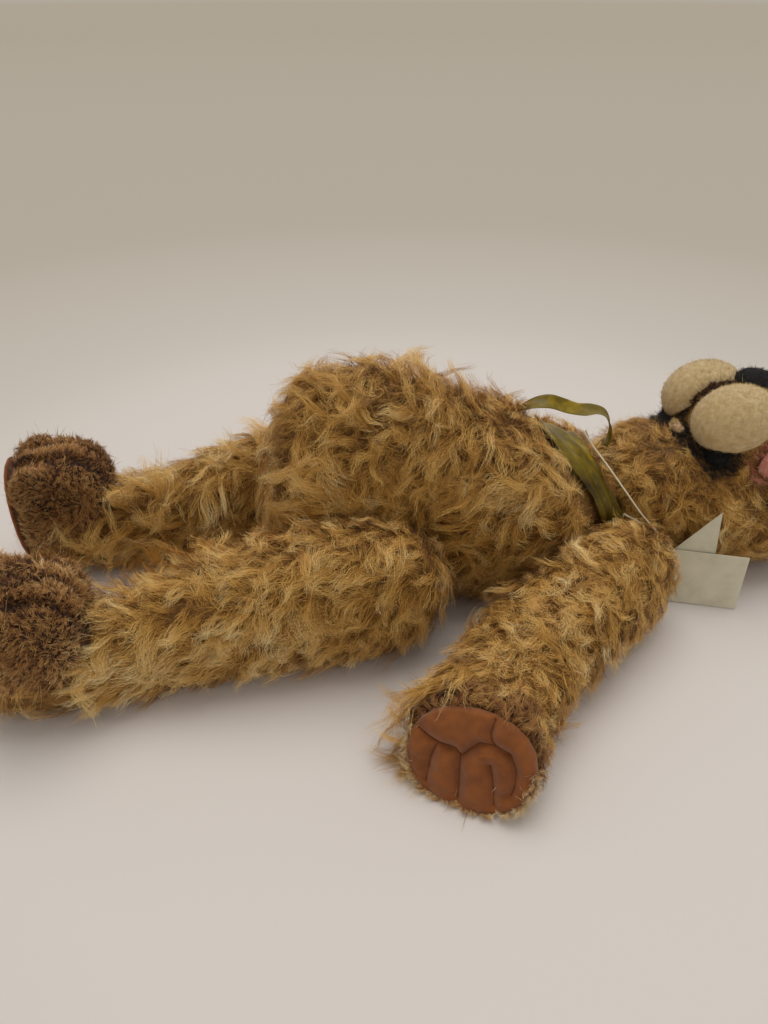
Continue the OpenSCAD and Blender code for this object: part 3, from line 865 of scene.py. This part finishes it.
NECK_MIDDLE_Z = 54 * MM
SATIN_THICKNESS = 0.3 * MM
RIBBON_LOW = ([0, 54, 74, 140], [137, 137, 124, 84])
RIBBON_HIGH = ([0, 52, 74, 140], [153, 153, 146, 108])
BOW_PATH = [
    ((88, -2, 127), (1, 8, -2)), ((96, -2, 130), (2, 8, 1)), ((106, -3, 131), (1, 6, 4)),
    ((117, -3, 127), (0, 5, 5)), ((128, -3, 123), (-1, 7, 3)), ((138, -3, 122), (1, 8, 1)),
    ((145, -4, 119), (3, 8, 0)), ((149, -5, 112), (3, 8, -1)), ((149.5, -6, 104), (2, 8, -2)),
    ((147, -7, 97), (1, 7, -3)),
]


def strip_faces(grid, closed):
    stations, across = grid.shape[:2]
    faces = []
    for i in range(stations if closed else stations - 1):
        for k in range(across - 1):
            a, b = i * across + k, (i + 1) % stations * across + k
            faces.append((a, a + 1, b + 1, b))
    return faces


def make_strip(name, grid, closed, node, **lie):
    """A satin strip from a grid of points, stations by places across it; lie, which says how it is held, is
    not used.
    """
    faces = strip_faces(grid, closed)
    mesh = bpy.data.meshes.new(name)
    mesh.from_pydata(grid.reshape(-1, 3).tolist(), [], faces)
    mesh.polygons.foreach_set("use_smooth", [True] * len(faces))
    mesh.materials.append(SATIN)
    strip = link(name, mesh)
    solid = strip.modifiers.new("thickness", "SOLIDIFY")
    solid.thickness = SATIN_THICKNESS
    solid.offset = 0
    settle(strip)
    claim(strip, "torso", "satin", node)
    return strip


def make_ribbon(torso):
    """The satin band round the neck, gathered into folds, and the twisted loop that stands on it."""
    stations, across = 240, 22
    angles = np.linspace(0, 2 * np.pi, stations, endpoint=False)
    share = np.linspace(0, 1, across)
    grid = np.zeros((stations, across, 3))
    for i, angle in enumerate(angles):
        outward = np.array([0, math.cos(angle), math.sin(angle)])
        for k, v in enumerate(share):
            height = NECK_MIDDLE_Z + 35 * MM * outward[2]
            for _ in range(4):
                low = np.interp(height / MM, *RIBBON_LOW)
                high = np.interp(height / MM, *RIBBON_HIGH)
                narrow = np.interp(height / MM, [60, 78, 110], [1, 0.66, 1.15])
                x = (low + (high - low) * (0.5 + (v - 0.5) * narrow) - CAD_SHIFT) * MM
                start = np.array([min(x, 110 * MM), 0, NECK_MIDDLE_Z]) + outward * 0.15
                hit, normal, _, _ = torso.tree.ray_cast(start.tolist(), (-outward).tolist())
                height = hit[2]
            fold = 0.9 * math.sin(2 * np.pi * (2.1 * v + 0.35 * math.sin(2 * angle) + 0.12))
            fold += 0.6 * math.sin(3 * angle + 5 * v) + 0.35 * math.sin(11 * angle + 9 * v)
            grid[i, k] = np.array([x, hit[1], hit[2]]) + np.array(normal[:]) * (4.4 + fold) * MM
    grid[:, :, 2] = np.maximum(grid[:, :, 2], 0.8 * MM)
    band = make_strip("ribbon_band", grid, True, "neck_ribbon", held="gathered", rests_on=["torso_hide"])

    middles = smooth_line([place for place, _ in BOW_PATH], 10) - [CAD_SHIFT, 0, 0]
    halves = 0.72 * smooth_line([half for _, half in BOW_PATH], 10)
    rows = np.linspace(-1, 1, 9)
    cup = np.cross(unit(np.gradient(middles, axis=0)), unit(halves))
    bow_grid = middles[:, None] + halves[:, None] * rows[None, :, None]
    bow_grid = (bow_grid + cup[:, None] * 1.1 * (rows**2)[None, :, None]) * MM
    make_strip("ribbon_loop", bow_grid, False, "ribbon_bow", held="hung", rests_on=[band])
    return BVHTree.FromPolygons(grid.reshape(-1, 3).tolist(), strip_faces(grid, True))


# ---- torso and head ----


def make_torso():
    inside = ["body_stuffing", "neck_body_disc", "shoulder_body_discs", "hip_body_discs"]
    hide = make_hide("torso_hide", ["body_skin"] + inside, *FUR_HIDE)
    finish_hide(hide, "torso", "mohair", ["body_skin"])
    ribbon = make_ribbon(Surface(hide))
    clearances = [clear_of_joint(joint["name"]) for joint in frame["joints"]]

    def keep(points, normals):
        kept = distances(points, ribbon) > 6.5 * MM
        for clear in clearances:
            kept &= clear(points, normals)
        return kept

    def flow(points, normals):
        heading = np.tile([-1.0, 0.0, -0.35], (len(points), 1))
        heading[:, 1] += 0.5 * np.sign(points[:, 1]) * (normals[:, 2] > 0.2)
        heading[head_side(points), 0] = 1.0
        return heading

    def head_side(points):
        return points[:, 0] > (np.interp(points[:, 2] / MM, *RIBBON_LOW) + 8 - CAD_SHIFT) * MM

    def scale(points, normals):
        short = np.where((distances(points, ribbon) < 22 * MM) & head_side(points), 0.5, 1.0)
        return short * np.where(points[:, 0] < 0.075, 1.12, 0.9)

    def crest(points, normals):
        belly = np.clip(1 - np.abs(points[:, 0] + 0.01) / 0.11, 0, 1)
        return 1 + 0.9 * belly * np.clip(normals[:, 2], 0, 1)

    coat(
        "torso_fur", hide, "torso", 52_000, 56_000, 25 * MM, 9 * MM, flow, 11, keep=keep, scale=scale,
        avoid=[(ribbon, 32 * MM)], crest=crest, line=string_line,
    )


def make_head():
    hide = make_hide("head_hide", ["head_skin", "head_stuffing", "neck_head_disc"], *FUR_HIDE)
    finish_hide(hide, "head", "mohair", ["head_skin"])
    pads = middle_of("muzzle_left_pad") * [1, 0, 1]
    eyes = [middle_of(f"{side}_eye") for side in SIDES]
    covers = ["muzzle_left_pad", "muzzle_right_pad", "nose", "mouth_lining", "lower_lip", "cheeks",
              "left_eye", "right_eye", "eyelids"]
    trees = [tree_of(node) for node in covers]
    lining, cheeks = (trees[covers.index(node)] for node in ("mouth_lining", "cheeks"))
    mouth = middle_of("mouth_lining")
    clear = clear_of_joint("neck_turn")

    def mouth_side(points):
        """The chin's upper edge below the pads, where the mouth opens."""
        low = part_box("muzzle_left_pad")[0]
        beside = (points[:, 0] < low.x + 10 * MM) & (points[:, 0] > low.x - 4 * MM)
        return beside & (points[:, 2] > low.z - 9 * MM) & (np.abs(points[:, 1]) < 26 * MM)

    def near_eye(points):
        return np.min([np.linalg.norm(points - eye, axis=1) for eye in eyes], axis=0)

    def keep(points, normals):
        apart = np.min([distances(points, tree) for tree in trees], axis=0)
        open_face = (distances(points, lining) > 6 * MM) & (distances(points, cheeks) > 6 * MM)
        return (apart > 2.5 * MM) & open_face & ~mouth_side(points) & clear(points, normals)

    def flow(points, normals):
        return unit(points - pads) + np.array([0.1, 0, -0.5])

    def scale(points, normals):
        eye = np.interp(near_eye(points), [8 * MM, 22 * MM, 32 * MM], [0.35, 0.5, 1])
        face = np.interp(np.linalg.norm(points - pads, axis=1), [30 * MM, 60 * MM], [0.6, 1])
        neck = np.where(points[:, 0] < 0.135, 0.8, 1)
        return eye * face * neck

    # painted shade: the fur is darker round the eyes and round the mouth, where shade falls
    def tone(points, normals):
        eye = np.interp(near_eye(points), [10 * MM, 26 * MM], [-1.4, 0])
        dark = np.interp(np.linalg.norm(points - mouth, axis=1), [14 * MM, 36 * MM], [-1.2, 0])
        return eye + dark

    coat(
        "head_fur", hide, "head", 36_000, 36_000, 19 * MM, 7.5 * MM, flow, 21, keep=keep, scale=scale,
        tone=tone, avoid=[(tree, 0) for tree in trees[:3]] + [(lining, 9 * MM), (cheeks, 7 * MM)],
    )

    def round_mouth(points, normals):
        return ((distances(points, lining) < 6 * MM) | mouth_side(points)) & clear(points, normals)

    def round_cheeks(points, normals):
        return distances(points, cheeks) < 7 * MM

    # black fuzz on the fur round the mouth: partly the mouth's black felt, partly painted shadow of the open
    # mouth
    short_pile(
        "mouth_shadow_fuzz", hide, "head", "black_felt", 130_000, DARK, 6 * MM, 4 * MM, flow, 27, keep=round_mouth,
        lock=2 * MM, curl=0.6 * MM, shade=(0, 1.5), gather=(0, 0.5), avoid=[(tree, 0) for tree in trees[:2]],
    )
    short_pile(
        "cheek_blush", hide, "head", "pink_felt", 60_000, PINK, 7 * MM, 3.5 * MM, flow, 29,
        keep=round_cheeks, lock=2.5 * MM, curl=0.8 * MM, wavelength=6 * MM, shade=(0, 2), gather=(0, 0.5),
    )
    make_face()
    for side in SIDES:
        make_ear(side)


def distances(points, tree):
    return np.array([tree.find_nearest(point)[3] for point in points.tolist()])


def tree_of(node):
    mesh = NODES[node].data
    mesh.calc_loop_triangles()
    return BVHTree.FromPolygons(positions(mesh).tolist(), [list(t.vertices) for t in mesh.loop_triangles])


def between_pads(points, normals):
    """Where the two muzzle pads meet."""
    return np.abs(points[:, 1]) < 3.4 * MM


def make_face():
    for side in SIDES:
        pad = small_felt(
            f"muzzle_{side}", f"muzzle_{side}_pad", "head", "cream_felt", CREAM_FELT, CREAM, 1.3 * MM,
            12_000, 1.3 * MM, 61 + SIDES[side], width=0.06 * MM, shade=(1.2, 2),
        )
        grow(
            f"muzzle_{side}_seam", pad, "head", "black_felt", 90_000, SEAM_FUZZ, 3.2 * MM, 2.2 * MM,
            along_heading(0.5, 0, 1.0), 68 + SIDES[side], keep=between_pads, lock=1.5 * MM, curl=0.4 * MM,
            stations=4, shade=(0, 1.5),
        )
        eye = make_hide(f"{side}_eye_glass", [f"{side}_eye"], 0.5 * MM, 0, EYE, 14)
        claim(eye, "head", "eye_black", f"{side}_eye")
    small_felt("nose", "nose", "head", "black_felt", BLACK_FELT, DARK, 1 * MM, 5_000, 1.6 * MM, 64)
    small_felt(
        "mouth", "mouth_lining", "head", "black_felt", BLACK_FELT, DARK, 1 * MM, 9_000, 4 * MM, 65,
        shade=(0, 1.4),
    )
    small_felt("lip", "lower_lip", "head", "pink_felt", LIP_FELT, CREAM, 0.7 * MM, 1_500, 1.8 * MM, 66)
    small_felt("cheek", "cheeks", "head", "pink_felt", PINK_FELT, PINK, 0.9 * MM, 7_000, 2.6 * MM, 67)
    lids = make_hide("eyelid_felt", ["eyelids"], 0.6 * MM, 0, LID_FELT, 4)
    finish_hide(lids, "head", "cream_felt", ["eyelids"])


def make_ear(side):
    way = SIDES[side]
    hide = make_hide(f"{side}_ear_hide", [f"{side}_ear"], 1.4 * MM, 0.4 * MM, HIDE, 5)
    finish_hide(hide, "head", "mohair", [f"{side}_ear"])
    flow = along_heading(0.8, 0.4 * way, 0.1)
    coat(f"{side}_ear_fur", hide, "head", 4_000, 4_000, 14 * MM, 5 * MM, flow, 71 + way, lock=3.5 * MM)


# ---- arms ----

PALM_SEAMS = [
    [(-0.94, -0.29), (-0.72, -0.16), (-0.51, -0.1), (-0.25, -0.1), (-0.15, 0.0), (-0.06, -0.14),
     (0.09, -0.36), (0.32, -0.4), (0.55, -0.33), (0.68, -0.1), (0.72, 0.2), (0.7, 0.42)],
    [(0.23, -0.92), (0.21, -0.62), (0.25, -0.48), (0.32, -0.4)],
    [(-0.54, -0.1), (-0.6, 0.2), (-0.6, 0.74)],
    [(-0.17, -0.04), (-0.13, 0.3), (-0.06, 0.86)],
    [(0.3, 0.0), (0.4, 0.3), (0.49, 0.72)],
]


def palm_frame(side):
    """The palm's middle, outward normal, direction across it and direction down it, and half sizes."""
    places = positions(NODES[f"{side}_palm"].data)
    shoulder = np.array(joint_named(f"{side}_shoulder")["pos_m"])
    middle = (places.max(0) + places.min(0)) / 2
    outward = np.linalg.svd(places - places.mean(0))[2][2]
    outward = outward * np.sign((outward * (middle - shoulder)).sum())
    down = unit(np.array([0, 0, -1.0]) + outward * outward[2])
    across = -np.cross(outward, down) * SIDES[side]
    inside = (places - middle) @ np.array([across, down, outward]).T
    middle = middle + np.array([across, down, outward]).T @ ((inside.max(0) + inside.min(0)) / 2)
    return middle, outward, across, down, (inside.max(0) - inside.min(0)) / 2


def distance_to_lines(points, lines):
    """Distance in a plane to the nearest of several broken lines."""
    best = np.full(len(points), 1e9)
    for line in lines:
        for a, b in zip(line[:-1], line[1:]):
            a, b = np.array(a), np.array(b)
            share = np.clip(((points - a) @ (b - a)) / ((b - a) @ (b - a)), 0, 1)
            best = np.minimum(best, np.linalg.norm(points - a - share[:, None] * (b - a), axis=1))
    return best


def make_palm(side, body):
    """The suede palm: stuffed segments between sunk seams, each seam with a dark thread in it."""
    middle, outward, across, down, half = palm_frame(side)
    palm = make_hide(f"{side}_palm_suede", [f"{side}_palm"], 0.75 * MM, 0.1 * MM, SUEDE, 6)
    places, normals = positions(palm.data), normals_of(palm.data)
    seams = [[(s * half[0], t * half[1]) for s, t in line] for line in PALM_SEAMS]
    inside = places - middle
    flat = np.stack([inside @ across, inside @ down], axis=1)
    apart = distance_to_lines(flat, seams)
    rim = 1 - np.sqrt((flat[:, 0] / half[0]) ** 2 + (flat[:, 1] / half[1]) ** 2)
    facing = np.clip((normals @ outward - 0.3) / 0.5, 0, 1)
    puff = 4.2 * (1 - np.exp(-((apart / (4 * MM)) ** 2))) * np.clip(rim / 0.3, 0, 1) ** 0.5
    sink = 1.2 * np.exp(-((apart / (1.2 * MM)) ** 2)) * np.clip(rim / 0.08, 0, 1)
    wrinkle = 0.25 * drift(places, 7 * MM, 83, 1)[:, 0]
    move_to(palm.data, places + outward * (facing * (puff - sink + wrinkle) * MM)[:, None])
    finish_hide(palm, body, "suede", [f"{side}_palm"])
    surface = Surface(palm)

    def lower_rim(points, normals):
        low = (points - middle) @ down > -0.15 * half[1]
        return low & (normals @ outward < 0.55) & (np.linalg.norm(points - middle, axis=1) > 0.7 * half[1])

    def rim_flow(points, normals):
        return unit(points - middle) + 0.9 * outward

    def rim_spread(points, normals):
        return 2.5 * MM * unit(points - middle)

    short_pile(
        f"{side}_palm_rim", palm, body, "brown_plush", 26_000, PLUSH, 5.5 * MM, 2.6 * MM, rim_flow,
        86 + SIDES[side], keep=lower_rim, lock=2 * MM, width=0.13 * MM, shade=(2.8, 3.2), wander=0.6,
        gather=(0, 0.4), hang=rim_spread,
    )
    lines = []
    for seam in seams:
        line = smooth_line([[*point, 0] for point in seam], 8)[:, :2]
        spread = middle + line[:, :1] * across + line[:, 1:] * down + outward * 0.03
        hits = [surface.tree.ray_cast(point.tolist(), (-outward).tolist())[0] for point in spread]
        lines.append(np.array([hit[:] for hit in hits if hit is not None]) + outward * 0.05 * MM)
    mesh = tube_mesh(f"{side}_palm_thread", lines, 0.18 * MM, 5)
    mesh.materials.append(THREAD)
    thread = link(mesh.name, mesh)
    claim(thread, body, "suede")
    return surface.tree


def make_arm(side):
    way = SIDES[side]
    body = f"{side}_arm"
    soft = [f"{side}_arm_skin", f"{side}_arm_stuffing", f"{side}_paw_back"]
    hide = make_hide(f"{side}_arm_hide", soft + hardware(side, "arm"), *FUR_HIDE)
    finish_hide(hide, body, "mohair", [f"{side}_arm_skin", f"{side}_paw_back"])
    palm = make_palm(side, body)
    middle, outward, across, down, half = palm_frame(side)
    shoulder = np.array(joint_named(f"{side}_shoulder")["pos_m"])
    toward_paw = unit(middle - shoulder)
    clear = clear_of_joint(f"{side}_shoulder")

    def back_of_palm(points):
        return (middle - points) @ outward

    def sleeve(points, normals):
        return (back_of_palm(points) > 13 * MM) & clear(points, normals)

    def flow(points, normals):
        heading = toward_paw + np.array([-0.15, 0, -0.45])
        wrist = np.clip(1 - back_of_palm(points) / (60 * MM), 0, 1)[:, None]
        return heading + wrist * (0.3 * outward + 1.3 * across * way)

    def scale(points, normals):
        inner = (points - middle) @ across < -0.3 * half[0]
        wrist = back_of_palm(points) < 45 * MM
        upper = (points - middle) @ down < -0.2 * half[1]
        tag = np.min([np.linalg.norm(points - bead, axis=1) for bead in string_line[-72::6]], axis=0)
        beyond = np.interp((points - shoulder) @ toward_paw, [-25 * MM, 5 * MM], [0.4, 1])
        size = np.where(wrist & inner, 1.6, 1.0) * beyond * np.interp(tag, [14 * MM, 36 * MM], [0.3, 1])
        return np.where(wrist & upper & ~inner, 0.7, size)

    def hang(points, normals):
        inner = (points - middle) @ across < -0.1 * half[0]
        wrist = np.clip(1 - (back_of_palm(points) - 13 * MM) / (30 * MM), 0, 1) * inner
        droop = -0.75 * across + 0.35 * outward + np.array([0, 0, -0.5])
        return (wrist * 34 * MM)[:, None] * droop

    # tone=evenly(0.15) makes the arm fur a little lighter than the torso's: painted light, as the arm faces
    # up into the light
    coat(
        f"{side}_arm_fur", hide, body, 22_000, 30_000, 20 * MM, 7 * MM, flow, 31 + way, keep=sleeve,
        scale=scale, tone=evenly(0.15), wander=0.9, curve=1.2, hang=hang,
        avoid=[(palm, 0)], cards=side == "left", line=string_line, line_room=6 * MM,
    )

    def band(points, normals):
        away = back_of_palm(points)
        return (away > 2 * MM) & (away < 15 * MM)

    def band_flow(points, normals):
        return unit(points - middle) + 1.1 * outward

    def rim_tone(points, normals):
        low = np.clip(((points - middle) @ down) / half[1], -1, 1)
        return np.where(low > 0.1, 3.2, -0.6)

    short_pile(
        f"{side}_paw_plush", hide, body, "brown_plush", 90_000, PLUSH, 8 * MM, 5.5 * MM, band_flow, 36 + way,
        keep=band, tone=rim_tone, lock=2 * MM, gather=(0.1, 0.6), width=0.15 * MM, shade=(0.2, 3.4),
        wander=0.9, avoid=[(palm, 0)],
    )


# ---- legs ----


TOE_STEP = 15.5 * MM


def toe_groove(points, side):
    """How deep in a groove between two toes each point is, from 0 to 1."""
    low, high = (np.array(corner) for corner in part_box(f"{side}_foot"))
    across = (points[:, 1] - (low[1] + high[1]) / 2) / TOE_STEP
    apart = np.abs(across - np.clip(np.rint(across), -1, 1)) * TOE_STEP
    upper = np.clip((points[:, 2] - 0.035) / 0.02, 0, 1)
    return np.exp(-((apart / (2.6 * MM)) ** 2)) * upper


def sculpt_toes(foot, side):
    places, normals = positions(foot.data), normals_of(foot.data)
    move_to(foot.data, places - normals * (4.5 * MM * toe_groove(places, side))[:, None])


def make_leg(side):
    way = SIDES[side]
    body = f"{side}_leg"
    soft = [f"{side}_leg_skin", f"{side}_leg_stuffing"]
    hide = make_hide(f"{side}_leg_hide", soft + hardware(side, "leg"), *FUR_HIDE)
    finish_hide(hide, body, "mohair", [f"{side}_leg_skin"])
    foot = make_hide(f"{side}_foot_hide", [f"{side}_foot"], 1.6 * MM, 2 * MM, PLUSH_HIDE, 4)
    finish_hide(foot, body, "brown_plush", [f"{side}_foot"])
    sculpt_toes(foot, side)
    leg, shoe = Surface(hide), Surface(foot)
    clear = clear_of_joint(f"{side}_hip")
    foot_low, foot_high = (np.array(corner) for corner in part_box(f"{side}_foot"))
    middle = (foot_low + foot_high) / 2

    def uncovered(points, normals):
        kept = clear(points, normals)
        close = np.flatnonzero(points[:, 0] < foot_high[0] + 8 * MM)
        kept[close] &= shoe.depth(points[close]) > 0.5 * MM
        return kept

    def scale(points, normals):
        return np.interp(points[:, 0], [foot_high[0], foot_high[0] + 0.05], [1.5, 1])

    def crest(points, normals):
        """The coat stands higher on the inner top of the leg, beyond the foot."""
        beyond_foot = points[:, 0] - foot_high[0]
        ankle = np.interp(beyond_foot, [0, 10 * MM, 60 * MM, 160 * MM], [0, 1, 1, 0.2])
        inner_top = np.clip(0.5 * normals[:, 2] - 0.9 * way * normals[:, 1], 0, 1)
        return 1 + 1.5 * ankle * inner_top

    # tone=evenly(0.4) makes the leg fur lighter than the torso's: painted light, as the leg faces up into the
    # light
    coat(
        f"{side}_leg_fur", hide, body, 24_000, 33_000, 21 * MM, 7.5 * MM, along_heading(-1.0, 0.0, -0.4),
        41 + way, keep=uncovered, scale=scale, crest=crest, tone=evenly(0.4), wander=0.6, curve=0.9,
    )

    def heel(points, normals):
        return uncovered(points, normals) & (points[:, 2] < 30 * MM) & (points[:, 0] < foot_high[0] + 15 * MM)

    grow(
        f"{side}_heel_fur", hide, body, "mohair", 90_000, MOHAIR, 27 * MM, 5 * MM,
        along_heading(-1.0, 0.35 * way, -0.05), 46 + way, keep=heel, wander=0.4, curve=0.5, shade=(1.8, 3.4),
    )

    def outside_leg(points, normals):
        under_sole = (normals[:, 0] < -0.75) & (points[:, 0] < foot_low[0] + 4 * MM)
        return (leg.depth(points) > 1 * MM) & ~under_sole

    def sole_edge(points):
        """From 1 beside the sole to 0 a little further up the foot."""
        return np.interp(points[:, 0], [foot_low[0] + 3 * MM, foot_low[0] + 11 * MM], [1, 0])

    def foot_flow(points, normals):
        over_sole = sole_edge(points)[:, None] * [-1.6, 0, 0]
        return unit(points - middle) * [0.2, 0.6, 1] + np.array([-0.4, 0, 0.2]) + over_sole

    # painted shade in the grooves between the toes, and the plush a little lighter towards the floor
    def foot_tone_with_groove_shade(points, normals):
        low = np.interp(points[:, 2], [0.01, 0.06], [0.7, 0])
        return low - 3.4 * toe_groove(points, side)

    def fringe(points, normals):
        return 1 + 1.1 * sole_edge(points)

    short_pile(
        f"{side}_foot_plush", foot, body, "brown_plush", 40_000, PLUSH, 3.6 * MM, 3 * MM, foot_flow, 51 + way,
        keep=outside_leg, scale=fringe, tone=foot_tone_with_groove_shade, lock=1.8 * MM, curl=0.35 * MM, gather=(0, 0.25),
        width=0.15 * MM, shade=(0.9, 2.6),
    )
    sole = make_hide(f"{side}_sole_suede", [f"{side}_sole"], 1.1 * MM, 0.1 * MM, SUEDE, 5)
    finish_hide(sole, body, "suede", [f"{side}_sole"])


string_line = make_string()
make_torso()
make_head()
for side in SIDES:
    make_arm(side)
    make_leg(side)

for name in NODES:
    if name.endswith("stuffing"):
        dress(name, FILLING)
    elif name.endswith(("disc", "discs")):
        dress(name, FIBREBOARD)
    elif name.endswith(("washers", "bolt", "nut")):
        dress(name, STEEL)
    elif name.endswith("card"):
        dress(name, CARD)
